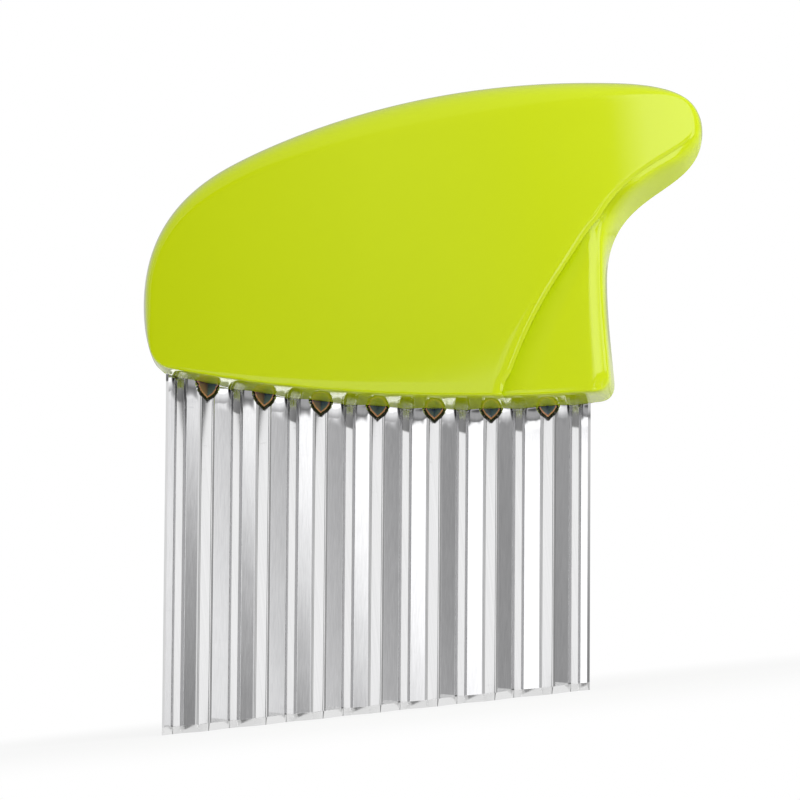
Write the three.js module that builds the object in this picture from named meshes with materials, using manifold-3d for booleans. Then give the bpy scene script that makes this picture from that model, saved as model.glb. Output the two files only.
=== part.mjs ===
// Crinkle cutter: a corrugated steel blade held between two moulded handle halves.
// Millimetres, +Z up. The cutting edge lies on z = 0 along X, and the front of the handle looks to -Y.
import * as THREE from 'three';
import { mergeVertices } from 'three/addons/utils/BufferGeometryUtils.js';
import Module from 'manifold-3d';

const wasm = await Module();
wasm.setup();

// Fits
const FIT_GAP = 0.3;
const SEAM_GAP = 0.3;

// Blade sheet and its waves
const SHEET = 0.6;
const WAVE_PITCH = 10;
const WAVE_COUNT = 7;
const WAVE_DEPTH = 4.2;
const BEND_RADIUS = 1.3;
const END_FLANK = 2.75;

// Blade height, cutting edge and the run-out of the waves below the handle
const BLADE_DROP = 53.7;
const EDGE_SLANT = THREE.MathUtils.degToRad(6.1);
const EDGE_LAND = 0.25;
const GRIND_HEIGHT = 1.3;
const RUN_OUT = 3.2;

// Tang inside the handle
const TANG_SHOULDER = 3;
const TANG_MARGIN = 6.5;

// Posts of the front half, which pass through the tang into sockets of the rear half
const POST_RADIUS = 2;
const POST_REACH = 4.5;
const BOSS_WALL = 1.8;
const POST_SPACING = 24;
const POST_RISE = 9;
const NOSE_POST_SETBACK = 12;
const NOSE_POST_DROP = 3.5;
const BACK_POST_INSET = 5;
const BACK_POST_DROP = 12;

// Handle outline along the blade: each reach is added to the one before it
const HEEL_MARGIN = 0.95;
const HEEL_BULGE = 2.45;
const SHOULDER_SETBACK = 15.9;
const FOOT_MARGIN = 4.3;
const WAIST_INSET = 1.25;
const NOSE_OVERHANG = 17;
const CROWN_SETBACK = 19.3;

// Handle outline upwards, from the lowest point of the underside
const UNDERSIDE_RADIUS = 222;
const UNDERSIDE_SHIFT = 15.3;
const HEEL_RISE = 18.1;
const SHOULDER_RISE = 43;
const CROWN_RISE = 57.7;
const NOSE_RISE = 48.9;
const WAIST_RISE = 22.3;

// Handle outline: slopes, pulls of its curves and the two lower corners
const HEEL_LEAN = THREE.MathUtils.degToRad(20);
const SHOULDER_SLOPE = THREE.MathUtils.degToRad(28);
const HEEL_PULL_UP = 15;
const HEEL_PULL_DOWN = 5;
const SHOULDER_PULL_DOWN = 7;
const SHOULDER_PULL_UP = 10;
const CROWN_PULL_BACK = 32;
const CROWN_PULL_FORE = 9;
const NOSE_PULL_UP = 8.5;
const NOSE_PULL_DOWN = 11;
const WAIST_PULL_UP = 18;
const WAIST_PULL_DOWN = 8;
const CORNER_PULL = 2;
const CORNER_SIZE = 2.6;
const HOOK_SPLIT = 0.16;

// Edge of the face: how far it lies inside the outline
const UNDERSIDE_BAND = 2.2;
const HEEL_FOOT_BAND = 0.7;
const HEEL_BAND = 2.05;
const SHOULDER_BAND = 4.5;
const CROWN_BAND = 4.5;
const NOSE_BAND = 1.8;
const WAIST_BAND = 3.5;
const FOOT_BAND = 3.9;

// Edge of the face: its own slopes and pulls
const FACE_CROWN_SLOPE = THREE.MathUtils.degToRad(6.5);
const CREASE_SLOPE = THREE.MathUtils.degToRad(60);
const FACE_HEEL_UP = 13;
const FACE_HEEL_DOWN = 4.5;
const FACE_CROWN_BACK = 30;
const FACE_CROWN_FORE = 13;
const FACE_NOSE_UP = 7.5;
const FACE_NOSE_DOWN = 3.5;
const FACE_WAIST_UP = 5.5;
const CREASE_PULL_DOWN = 2;
const CREASE_PULL_UP = 12;

// Handle thickness, half of it on each side of the seam
const WALL = 2;
const PALM_HALF = 12;
const FLAT_RISE = 12;
const CROWN_THINNING = 4;
const HEEL_THINNING = 1.8;
const NOSE_THINNING = 5.5;
const NOSE_FALL = 4;

// Rounded edge between outline and face: its share of straight draft
const UNDERSIDE_DRAFT = 0.62;
const WAIST_DRAFT = 0.4;
const HOOK_DRAFT = 0.7;
const NOSE_DRAFT = 0.3;
const BACK_DRAFT = 0;
const SHOULDER_DRAFT = 0.1;
const HEEL_DRAFT = 0.45;

// Rounded edge: how square it is (2 is an ellipse)
const UNDERSIDE_SQUARE = 4.5;
const WAIST_SQUARE = 3;
const HOOK_SQUARE = 4.5;
const NOSE_SQUARE = 3;
const BACK_SQUARE = 2.2;
const SHOULDER_SQUARE = 2.4;
const HEEL_SQUARE = 3.5;

// Neck: the wedge beside the palm face, and the step down to it
const NECK_WIDTH = 16.2;
const NECK_BOW = 0.25;
const NECK_TOP = 31;
const NECK_TOP_LEAN = 0.9;
const NECK_EDGE = 0.7;
const STEP_DEPTH = 2;
const STEP_RUN = 1.1;
const STEP_TIP = 0.7;
const STEP_FADE_FOOT = 14;
const STEP_FADE_NOSE = 7;

// Corners of the face grid, as shares of the nose's and the heel's curves
const NOSE_CORNER = 0.42;
const BACK_CORNER = 0.4;

// Mesh fineness
const PALM_COLUMNS = 24;
const NECK_COLUMNS = 4;
const FACE_ROWS = 24;
const ROUND_RINGS = 5;
const CORE_DETAIL = 0.5;
const BEND_STEPS = 2;
const FLANK_STEPS = 2;
const ROUND_SIDES = 20;
const TANGENT_REACH = 0.2;
const CUT_OVERSHOOT = 2;

// Finishes
const LIME = 0xbfd412;
const STEEL = 0xc4c6c8;

// Places along the blade that follow from the sizes above
const bladeHalf = (WAVE_COUNT * WAVE_PITCH) / 2 + END_FLANK;
const heelFoot = -bladeHalf - HEEL_MARGIN;
const heel = heelFoot - HEEL_BULGE;
const shoulder = heel + SHOULDER_SETBACK;
const foot = bladeHalf + FOOT_MARGIN;
const waist = foot - WAIST_INSET;
const nose = waist + NOSE_OVERHANG;
const crown = nose - CROWN_SETBACK;
const tangRise = POST_RISE + TANG_MARGIN;
const tangHalf = bladeHalf - TANG_SHOULDER;

const smooth = (from, to, x) => THREE.MathUtils.smoothstep(x, from, to);
const vec2 = (u, w) => new THREE.Vector2(u, w);

// Height of the underside's arc above its lowest point
function underside(u) {
  const across = u - UNDERSIDE_SHIFT;
  return UNDERSIDE_RADIUS - Math.sqrt(UNDERSIDE_RADIUS ** 2 - across ** 2);
}

// Height of the cutting edge, which is slanted to the waves
function edgeHeight(u) {
  return -BLADE_DROP + u * Math.tan(EDGE_SLANT);
}

// Solids

function solidFromArrays(points, triangles) {
  const mesh = new wasm.Mesh({
    numProp: 3,
    vertProperties: new Float32Array(points.flat()),
    triVerts: new Uint32Array(triangles.flat()),
  });
  return new wasm.Manifold(mesh);
}

function solidFromGeometry(geometry) {
  const bare = geometry.clone();
  bare.deleteAttribute('normal');
  bare.deleteAttribute('uv');
  const merged = mergeVertices(bare);
  const mesh = new wasm.Mesh({
    numProp: 3,
    vertProperties: new Float32Array(merged.attributes.position.array),
    triVerts: new Uint32Array(merged.index.array),
  });
  return new wasm.Manifold(mesh);
}

function geometryFromSolid(solid) {
  const mesh = solid.getMesh();
  const geometry = new THREE.BufferGeometry();
  geometry.setAttribute('position', new THREE.BufferAttribute(mesh.vertProperties, 3));
  geometry.setIndex(new THREE.BufferAttribute(mesh.triVerts, 1));
  geometry.computeVertexNormals();
  return geometry;
}

// A round pin along Y between two depths
function roundPin(u, w, radius, from, to) {
  const geometry = new THREE.CylinderGeometry(radius, radius, to - from, ROUND_SIDES);
  geometry.translate(0, (from + to) / 2, 0);
  geometry.translate(u, 0, w);
  return solidFromGeometry(geometry);
}

// A plate in the plane of the blade, centred on the seam
function seamPlate(shape, thickness) {
  const geometry = new THREE.ExtrudeGeometry(shape, {
    depth: thickness,
    bevelEnabled: false,
    curveSegments: ROUND_SIDES,
  });
  geometry.translate(0, 0, -thickness / 2);
  geometry.rotateX(Math.PI / 2);
  return solidFromGeometry(geometry);
}

// Handle outline

function cubic(from, pullFrom, pullTo, to) {
  return new THREE.CubicBezierCurve(from, from.clone().add(pullFrom), to.clone().add(pullTo), to);
}

// One cubic as two, split at a share of its parameter
function splitCubic(curve, share) {
  const mix = (from, to) => from.clone().lerp(to, share);
  const first = mix(curve.v0, curve.v1);
  const second = mix(curve.v1, curve.v2);
  const third = mix(curve.v2, curve.v3);
  const before = mix(first, second);
  const after = mix(second, third);
  const middle = mix(before, after);
  return [
    new THREE.CubicBezierCurve(curve.v0, first, before, middle),
    new THREE.CubicBezierCurve(middle, after, third, curve.v3),
  ];
}

// A closed line, from the left end of the underside, anticlockwise as seen from the front:
// the handle's outline at band 0, the edge of its face at band 1
function handleOutline(band) {
  const between = (outer, inner) => THREE.MathUtils.lerp(outer, inner, band);
  const up = (reach) => vec2(0, reach);
  const along = (angle, reach) => vec2(Math.cos(angle), Math.sin(angle)).multiplyScalar(reach);
  const lean = (reach) => along(Math.PI / 2 + HEEL_LEAN, reach);
  const onFloor = (u) => vec2(u, underside(u) + UNDERSIDE_BAND * band);
  const centre = vec2(UNDERSIDE_SHIFT, UNDERSIDE_RADIUS + UNDERSIDE_BAND * band);
  const angle = (point) => Math.atan2(point.y - centre.y, point.x - centre.x);
  const crownSlope = FACE_CROWN_SLOPE * band;
  const left = heelFoot + HEEL_FOOT_BAND * band;
  const right = foot - FOOT_BAND * band;

  const leftCorner = onFloor(left);
  const rightCorner = onFloor(right);
  const leftStart = onFloor(left + CORNER_SIZE);
  const rightEnd = onFloor(right - CORNER_SIZE);
  const rightTop = rightCorner.clone().add(up(CORNER_SIZE));
  const leftTop = leftCorner.clone().add(lean(CORNER_SIZE));
  const waistPoint = vec2(waist - WAIST_BAND * band, WAIST_RISE);
  const nosePoint = vec2(nose - NOSE_BAND * band, NOSE_RISE);
  const crownPoint = vec2(crown, CROWN_RISE - CROWN_BAND * band);
  const shoulderPoint = vec2(shoulder, SHOULDER_RISE);
  shoulderPoint.add(along(SHOULDER_SLOPE - Math.PI / 2, SHOULDER_BAND * band));
  const heelPoint = vec2(heel + HEEL_BAND * band, HEEL_RISE);
  const neckTop = vec2(waist - WAIST_BAND + NECK_TOP_LEAN, NECK_TOP);

  // The outline's hook is split where the face's edge turns from the neck into the crease
  const hook = band === 0
    ? splitCubic(cubic(waistPoint, up(WAIST_PULL_UP), up(-NOSE_PULL_DOWN), nosePoint), HOOK_SPLIT)
    : [
      cubic(waistPoint, up(FACE_WAIST_UP), along(CREASE_SLOPE, -CREASE_PULL_DOWN), neckTop),
      cubic(neckTop, along(CREASE_SLOPE, CREASE_PULL_UP), up(-FACE_NOSE_DOWN), nosePoint),
    ];
  const path = new THREE.CurvePath();
  path.add(new THREE.ArcCurve(
    centre.x, centre.y, UNDERSIDE_RADIUS, angle(leftStart), angle(rightEnd), false,
  ));
  path.add(new THREE.QuadraticBezierCurve(rightEnd, rightCorner, rightTop));
  path.add(cubic(rightTop, up(CORNER_PULL), up(-WAIST_PULL_DOWN), waistPoint));
  hook.forEach((curve) => path.add(curve));
  path.add(cubic(
    nosePoint, up(between(NOSE_PULL_UP, FACE_NOSE_UP)),
    along(crownSlope, between(CROWN_PULL_FORE, FACE_CROWN_FORE)), crownPoint,
  ));
  path.add(cubic(
    crownPoint, along(crownSlope, -between(CROWN_PULL_BACK, FACE_CROWN_BACK)),
    along(SHOULDER_SLOPE, SHOULDER_PULL_UP), shoulderPoint,
  ));
  path.add(cubic(
    shoulderPoint, along(SHOULDER_SLOPE, -SHOULDER_PULL_DOWN),
    up(between(HEEL_PULL_UP, FACE_HEEL_UP)), heelPoint,
  ));
  path.add(cubic(heelPoint, up(-between(HEEL_PULL_DOWN, FACE_HEEL_DOWN)), lean(CORNER_PULL), leftTop));
  path.add(new THREE.QuadraticBezierCurve(leftTop, leftCorner, leftStart));
  return path;
}

const outline = handleOutline(0);
const faceOutline = handleOutline(1);
const outlineLength = outline.getLength();
const spanEnds = outline.getCurveLengths();

// Point of either line at a distance that is measured along the outline
function pointAlong(line, distance) {
  const run = THREE.MathUtils.euclideanModulo(distance, outlineLength);
  const span = Math.max(spanEnds.findIndex((end) => run <= end), 0);
  const start = span === 0 ? 0 : spanEnds[span - 1];
  return line.curves[span].getPointAt((run - start) / (spanEnds[span] - start));
}

// Distances along the outline at which its character changes
const station = {
  start: 0,
  rightFoot: spanEnds[0],
  neck: spanEnds[1],
  waist: spanEnds[2],
  neckTop: spanEnds[3],
  nose: spanEnds[4],
  crown: spanEnds[5],
  shoulder: spanEnds[6],
  heel: spanEnds[7],
  leftFoot: spanEnds[8],
  end: outlineLength,
};

// Smooth change of a value between stations given as [distance, value] in order
function alongOutline(stations, distance) {
  for (let k = 1; k < stations.length; k += 1) {
    const [from, valueFrom] = stations[k - 1];
    const [to, valueTo] = stations[k];
    if (distance <= to) {
      return THREE.MathUtils.lerp(valueFrom, valueTo, smooth(from, to, distance));
    }
  }
  return stations[stations.length - 1][1];
}

const backMiddle = (station.crown + station.shoulder) / 2;
const hookMiddle = (station.neckTop + station.nose) / 2;
const draftStations = [
  [station.start, UNDERSIDE_DRAFT],
  [station.rightFoot, UNDERSIDE_DRAFT],
  [station.waist, WAIST_DRAFT],
  [hookMiddle, HOOK_DRAFT],
  [station.nose, NOSE_DRAFT],
  [backMiddle, BACK_DRAFT],
  [station.shoulder, SHOULDER_DRAFT],
  [station.heel, HEEL_DRAFT],
  [station.end, UNDERSIDE_DRAFT],
];
const squareStations = [
  [station.start, UNDERSIDE_SQUARE],
  [station.rightFoot, UNDERSIDE_SQUARE],
  [station.waist, WAIST_SQUARE],
  [hookMiddle, HOOK_SQUARE],
  [station.nose, NOSE_SQUARE],
  [backMiddle, BACK_SQUARE],
  [station.shoulder, SHOULDER_SQUARE],
  [station.heel, HEEL_SQUARE],
  [station.end, UNDERSIDE_SQUARE],
];

// Handle form

// Half thickness of the palm face: flat above the blade, thinner to the crown, the heel and the nose
function palmDepth(u, w) {
  const rise = Math.max(w - FLAT_RISE, 0) / (CROWN_RISE - FLAT_RISE);
  const along = u < 0 ? HEEL_THINNING * (u / heel) ** 2 : NOSE_THINNING * (u / nose) ** NOSE_FALL;
  return PALM_HALF - CROWN_THINNING * rise ** 2 - along;
}

// The step grows from the underside and dies out along the hook
function stepDepth(u, w) {
  const growing = smooth(0, STEP_FADE_FOOT, w - underside(u) - UNDERSIDE_BAND);
  return STEP_DEPTH * growing * (1 - smooth(NECK_TOP, NECK_TOP + STEP_FADE_NOSE, w));
}

// Width of the neck's flat at a height: a wedge that closes at its top
function neckWidth(w) {
  const low = underside(foot) + UNDERSIDE_BAND;
  const share = Math.min((w - low) / (NECK_TOP - low), 1);
  return Math.hypot(NECK_WIDTH * (1 - share) * (1 + NECK_BOW * share), NECK_EDGE);
}

// Points of a patch between four edges, each edge a list of points
function coonsPoint(bottom, top, left, right, c, r) {
  const columns = bottom.length - 1;
  const rows = left.length - 1;
  const s = c / columns;
  const t = r / rows;
  const mix = (from, to, k) => from.clone().lerp(to, k);
  const lengthwise = mix(bottom[c], top[c], t);
  const crosswise = mix(left[r], right[r], s);
  const corners = mix(mix(bottom[0], bottom[columns], s), mix(top[0], top[columns], s), t);
  return lengthwise.add(crosswise).sub(corners);
}

// Half of the handle as one closed solid, set in from the outside by inset.
// side is -1 for the front and 1 for the rear. capAt is how far past the seam the flat side lies.
function handleHalf({ side, inset, capAt, detail }) {
  const palmColumns = Math.round(PALM_COLUMNS * detail);
  const neckColumns = Math.round(NECK_COLUMNS * detail);
  const columns = palmColumns + 1 + neckColumns;
  const rows = Math.round(FACE_ROWS * detail);
  const rings = Math.round(ROUND_RINGS * detail);
  const leftFoot = (station.leftFoot + station.end) / 2 - outlineLength;
  const rightFoot = (station.rightFoot + station.neck) / 2;
  const stepFoot = rightFoot - NECK_WIDTH - STEP_RUN;
  const topRight = THREE.MathUtils.lerp(station.nose, station.crown, NOSE_CORNER);
  const stepTop = topRight + NECK_EDGE;
  const topLeft = THREE.MathUtils.lerp(station.shoulder, station.heel, BACK_CORNER);

  // Outline distances of the loop's points: underside, neck side, back, heel side
  const distances = [];
  const addSpan = (from, to, count) => {
    for (let k = 0; k < count; k += 1) distances.push(THREE.MathUtils.lerp(from, to, k / count));
  };
  addSpan(leftFoot, stepFoot, palmColumns);
  addSpan(stepFoot, stepFoot + STEP_RUN, 1);
  addSpan(stepFoot + STEP_RUN, rightFoot, neckColumns);
  addSpan(rightFoot, topRight, rows);
  addSpan(topRight, stepTop, neckColumns);
  addSpan(stepTop, stepTop + STEP_TIP, 1);
  addSpan(stepTop + STEP_TIP, topLeft, palmColumns);
  addSpan(topLeft, leftFoot + outlineLength, rows);

  const count = distances.length;
  const loop = distances.map((distance, i) => {
    const point = pointAlong(outline, distance);
    const tangent = pointAlong(outline, distance + TANGENT_REACH);
    tangent.sub(pointAlong(outline, distance - TANGENT_REACH)).normalize();
    const inward = vec2(-tangent.y, tangent.x);
    const run = THREE.MathUtils.euclideanModulo(distance, outlineLength);
    return { i, distance, run, point: point.addScaledVector(inward, inset), inward };
  });

  // Column of the face grid of each loop point, to tell the neck from the palm
  const columnOf = (i) => {
    if (i <= columns) return i;
    if (i <= columns + rows) return columns;
    return Math.max(2 * columns + rows - i, 0);
  };
  const depthAt = (u, w, c) => {
    const drop = c > palmColumns ? stepDepth(u, w) : 0;
    return palmDepth(u, w) - drop - inset;
  };

  const points = [];
  const triangles = [];
  const addPoint = (uw, depth) => {
    points.push([uw.x, side * depth, uw.y]);
    return points.length - 1;
  };
  const addQuad = (a, b, c, d) => {
    if (side < 0) triangles.push([a, b, c], [a, c, d]);
    else triangles.push([a, c, b], [a, d, c]);
  };

  // Rounded edge, ring by ring from the seam to the face
  const ringIndex = [];
  const faceEdge = loop.map(({ distance, inward }) => (
    pointAlong(faceOutline, distance).addScaledVector(inward, inset / 2)
  ));
  const seam = SEAM_GAP / 2;
  ringIndex.push(loop.map(({ point }) => addPoint(point, -capAt)));
  if (capAt > -seam) ringIndex.push(loop.map(({ point }) => addPoint(point, seam)));
  for (let j = 1; j <= rings; j += 1) {
    const angle = (j / rings) * (Math.PI / 2);
    ringIndex.push(loop.map(({ i, run, point }) => {
      const draft = alongOutline(draftStations, run);
      const power = 2 / alongOutline(squareStations, run);
      const rise = Math.sin(angle) ** power;
      const bend = 1 - Math.max(Math.cos(angle), 0) ** power;
      const across = j === rings ? 1 : draft * rise + (1 - draft) * bend;
      const uw = point.clone().lerp(faceEdge[i], across);
      return addPoint(uw, seam + (depthAt(uw.x, uw.y, columnOf(i)) - seam) * rise);
    }));
  }
  for (let j = 0; j + 1 < ringIndex.length; j += 1) {
    for (let i = 0; i < count; i += 1) {
      const next = (i + 1) % count;
      addQuad(ringIndex[j][i], ringIndex[j][next], ringIndex[j + 1][next], ringIndex[j + 1][i]);
    }
  }

  // Face: the palm patch, the step and the neck patch between four rails
  const rimPoint = (c, r) => {
    if (r === 0) return c;
    if (c === columns) return columns + r;
    if (r === rows) return 2 * columns + rows - c;
    return (2 * columns + 2 * rows - r) % count;
  };
  // A rail of the step, run away from the neck's flat and tip away from it at the nose
  const rail = (c, run, tip) => Array.from({ length: rows + 1 }, (_, r) => {
    if (r === 0 || r === rows) return faceEdge[rimPoint(c, r)];
    const edge = faceEdge[rimPoint(columns, r)];
    const onwards = faceEdge[rimPoint(columns, r + 1)].clone().sub(faceEdge[rimPoint(columns, r - 1)]);
    onwards.normalize();
    const turning = smooth(NECK_TOP - STEP_FADE_NOSE, NECK_TOP + STEP_FADE_NOSE, edge.y);
    const away = vec2(-1, 0).lerp(vec2(-onwards.y, onwards.x), turning).normalize();
    return edge.clone().addScaledVector(away, neckWidth(edge.y) + THREE.MathUtils.lerp(run, tip, turning));
  });
  const side0 = Array.from({ length: rows + 1 }, (_, r) => faceEdge[rimPoint(0, r)]);
  const side1 = Array.from({ length: rows + 1 }, (_, r) => faceEdge[rimPoint(columns, r)]);
  const rails = [side0, rail(palmColumns, STEP_RUN, STEP_TIP), rail(palmColumns + 1, 0, 0), side1];
  const splits = [0, palmColumns, palmColumns + 1, columns];
  const facePoint = (c, r) => {
    const strip = c <= palmColumns ? 0 : 2;
    const first = splits[strip];
    const width = splits[strip + 1] - first;
    const edge = (row) => Array.from({ length: width + 1 }, (_, k) => faceEdge[rimPoint(first + k, row)]);
    return coonsPoint(edge(0), edge(rows), rails[strip], rails[strip + 1], c - first, r);
  };
  const top = ringIndex[ringIndex.length - 1];
  const faceIndex = [];
  for (let c = 0; c <= columns; c += 1) {
    faceIndex.push([]);
    for (let r = 0; r <= rows; r += 1) {
      const onRim = c === 0 || c === columns || r === 0 || r === rows;
      if (onRim) {
        faceIndex[c].push(top[rimPoint(c, r)]);
      } else {
        const uw = facePoint(c, r);
        faceIndex[c].push(addPoint(uw, depthAt(uw.x, uw.y, c)));
      }
    }
  }
  for (let c = 0; c < columns; c += 1) {
    for (let r = 0; r < rows; r += 1) {
      addQuad(faceIndex[c][r], faceIndex[c + 1][r], faceIndex[c + 1][r + 1], faceIndex[c][r + 1]);
    }
  }

  // Flat side at the seam
  const flat = THREE.ShapeUtils.triangulateShape(loop.map(({ point }) => point), []);
  for (const [a, b, c] of flat) {
    if (side < 0) triangles.push([ringIndex[0][a], ringIndex[0][c], ringIndex[0][b]]);
    else triangles.push([ringIndex[0][a], ringIndex[0][b], ringIndex[0][c]]);
  }
  return solidFromArrays(points, triangles);
}

// Blade

// Flank angle at which arcs of the bend radius and straight flanks give the wave's depth
function flankAngle() {
  let low = 0;
  let high = Math.PI / 2;
  for (let k = 0; k < 60; k += 1) {
    const angle = (low + high) / 2;
    const run = WAVE_PITCH / 2 - 2 * BEND_RADIUS * Math.sin(angle);
    const depth = run * Math.tan(angle) + 2 * BEND_RADIUS * (1 - Math.cos(angle));
    if (depth < WAVE_DEPTH) low = angle;
    else high = angle;
  }
  return (low + high) / 2;
}

const flank = flankAngle();
const bendRun = BEND_RADIUS * Math.sin(flank);

// Height of the wave over the blade's middle plane, positive to the front
function waveHeight(u) {
  const q = Math.abs(u - WAVE_PITCH * Math.round(u / WAVE_PITCH));
  const half = WAVE_DEPTH / 2;
  const fromValley = WAVE_PITCH / 2 - q;
  if (q < bendRun) return half - BEND_RADIUS + Math.sqrt(BEND_RADIUS ** 2 - q ** 2);
  if (fromValley < bendRun) return -half + BEND_RADIUS - Math.sqrt(BEND_RADIUS ** 2 - fromValley ** 2);
  return (WAVE_PITCH / 4 - q) * Math.tan(flank);
}

// Middle surface of the sheet: flat in the handle, then facets, then full waves
function sheetHeight(u, w) {
  const below = underside(u) - FIT_GAP - w;
  const limit = (WAVE_DEPTH / 2) * THREE.MathUtils.clamp(below / RUN_OUT, 0, 1);
  return THREE.MathUtils.clamp(waveHeight(u), -limit, limit);
}

// Stations across the waves, close in the bends and wide on the flanks
function waveStations() {
  const halfWave = [];
  for (let k = 0; k < BEND_STEPS; k += 1) {
    halfWave.push(BEND_RADIUS * Math.sin((flank * k) / BEND_STEPS));
  }
  for (let k = 0; k < FLANK_STEPS; k += 1) {
    halfWave.push(THREE.MathUtils.lerp(bendRun, WAVE_PITCH / 2 - bendRun, k / FLANK_STEPS));
  }
  for (let k = BEND_STEPS; k > 0; k -= 1) {
    halfWave.push(WAVE_PITCH / 2 - BEND_RADIUS * Math.sin((flank * k) / BEND_STEPS));
  }
  const stations = [-bladeHalf];
  const firstValley = (-WAVE_COUNT * WAVE_PITCH) / 2;
  const halfWaves = 2 * WAVE_COUNT;
  for (let h = -1; h <= halfWaves; h += 1) {
    for (const run of halfWave) {
      const u = firstValley + (h * WAVE_PITCH) / 2 + run;
      if (u > -bladeHalf + FIT_GAP && u < bladeHalf - FIT_GAP) stations.push(u);
    }
  }
  stations.push(bladeHalf);
  return stations;
}

// The sheet as a closed solid with its tang still at full width
function sheetSolid() {
  const runOutRows = [0, 1 / 3, 2 / 3, 1];
  const rowHeights = [
    (u) => underside(u) + tangRise,
    ...runOutRows.map((share) => (u) => underside(u) - FIT_GAP - share * RUN_OUT),
    (u) => edgeHeight(u) + GRIND_HEIGHT / Math.cos(EDGE_SLANT),
    (u) => edgeHeight(u),
  ];
  const lastRow = rowHeights.length - 1;
  const stations = waveStations();
  const reach = SHEET / 20;
  const points = [];
  const place = (u, row, offset) => {
    const w = rowHeights[row](u);
    const slopeU = (sheetHeight(u + reach, w) - sheetHeight(u - reach, w)) / (2 * reach);
    const slopeW = (sheetHeight(u, w + reach) - sheetHeight(u, w - reach)) / (2 * reach);
    const normal = new THREE.Vector3(-slopeU, 1, -slopeW).normalize();
    const flatRow = row === 0 || row >= lastRow - 1;
    const uOut = u + normal.x * offset;
    const wOut = flatRow ? rowHeights[row](uOut) : w + normal.z * offset;
    points.push([uOut, -(sheetHeight(u, w) + normal.y * offset), wOut]);
    return points.length - 1;
  };
  const frontOffset = (row) => (row === lastRow ? EDGE_LAND - SHEET / 2 : SHEET / 2);
  const front = stations.map((u) => rowHeights.map((_, row) => place(u, row, frontOffset(row))));
  const rear = stations.map((u) => rowHeights.map((_, row) => place(u, row, -SHEET / 2)));

  const triangles = [];
  const addQuad = (a, b, c, d) => triangles.push([a, b, c], [a, c, d]);
  for (let k = 0; k + 1 < stations.length; k += 1) {
    for (let row = 0; row < lastRow; row += 1) {
      addQuad(front[k][row + 1], front[k + 1][row + 1], front[k + 1][row], front[k][row]);
      addQuad(rear[k][row], rear[k + 1][row], rear[k + 1][row + 1], rear[k][row + 1]);
    }
    addQuad(front[k][0], front[k + 1][0], rear[k + 1][0], rear[k][0]);
    addQuad(rear[k][lastRow], rear[k + 1][lastRow], front[k + 1][lastRow], front[k][lastRow]);
  }
  const end = stations.length - 1;
  for (let row = 0; row < lastRow; row += 1) {
    addQuad(front[0][row], rear[0][row], rear[0][row + 1], front[0][row + 1]);
    addQuad(front[end][row + 1], rear[end][row + 1], rear[end][row], front[end][row]);
  }
  return solidFromArrays(points, triangles);
}

// A shape between two heights over the underside's arc
function undersideBand(from, to, low, high) {
  const centre = vec2(UNDERSIDE_SHIFT, UNDERSIDE_RADIUS);
  const angle = (u, radius) => -Math.acos((u - centre.x) / radius);
  const shape = new THREE.Shape();
  const outer = UNDERSIDE_RADIUS - low;
  const inner = UNDERSIDE_RADIUS - high;
  shape.absarc(centre.x, centre.y, outer, angle(from, outer), angle(to, outer), false);
  shape.absarc(centre.x, centre.y, inner, angle(to, inner), angle(from, inner), true);
  shape.closePath();
  return shape;
}

// Posts in the handle: three through the tang, one in the nose and one in the back
const postPlaces = [-POST_SPACING, 0, POST_SPACING].map((u) => [u, underside(u) + POST_RISE]);
const shellPosts = [
  [nose - NOSE_POST_SETBACK, NOSE_RISE - NOSE_POST_DROP],
  [shoulder + BACK_POST_INSET, SHOULDER_RISE - BACK_POST_DROP],
];

function waveBlade() {
  let blade = sheetSolid();
  const clear = tangRise + CUT_OVERSHOOT;
  for (const side of [-1, 1]) {
    const ends = [side * tangHalf, side * (bladeHalf + CUT_OVERSHOOT)].sort((a, b) => a - b);
    const shoulderCut = undersideBand(ends[0], ends[1], -FIT_GAP, clear);
    blade = blade.subtract(seamPlate(shoulderCut, WAVE_DEPTH));
  }
  for (const [u, w] of postPlaces) {
    blade = blade.subtract(roundPin(u, w, POST_RADIUS + FIT_GAP, -SHEET, SHEET));
  }
  return blade;
}

// Handle halves

// Pocket for the tang with its clearance, open at the underside
function tangPocket() {
  const shape = undersideBand(-tangHalf - FIT_GAP, tangHalf + FIT_GAP, -CUT_OVERSHOOT, tangRise + FIT_GAP);
  return seamPlate(shape, SHEET + 2 * FIT_GAP);
}

function handleShell(side) {
  const outer = handleHalf({ side, inset: 0, capAt: -SEAM_GAP / 2, detail: 1 });
  const core = handleHalf({ side, inset: WALL, capAt: CUT_OVERSHOOT, detail: CORE_DETAIL });
  const seam = SEAM_GAP / 2;
  const bossRadius = POST_RADIUS + FIT_GAP + BOSS_WALL;
  const deep = (depths) => depths.map((depth) => side * depth).sort((a, b) => a - b);
  let shell = outer.subtract(core);
  for (const [u, w] of [...postPlaces, ...shellPosts]) {
    const [from, to] = deep([seam, PALM_HALF]);
    shell = shell.add(roundPin(u, w, bossRadius, from, to).intersect(outer));
  }
  shell = shell.subtract(tangPocket());
  for (const [u, w] of [...postPlaces, ...shellPosts]) {
    if (side < 0) {
      shell = shell.add(roundPin(u, w, POST_RADIUS, -SHEET - 2 * FIT_GAP, POST_REACH));
    } else {
      shell = shell.subtract(roundPin(u, w, POST_RADIUS + FIT_GAP, -CUT_OVERSHOOT, POST_REACH + FIT_GAP));
    }
  }
  return shell;
}

// Assembly

function piece(name, solid, color, roughness, metalness) {
  const material = new THREE.MeshStandardMaterial({ color, roughness, metalness });
  const mesh = new THREE.Mesh(geometryFromSolid(solid), material);
  mesh.name = name;
  return mesh;
}

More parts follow.
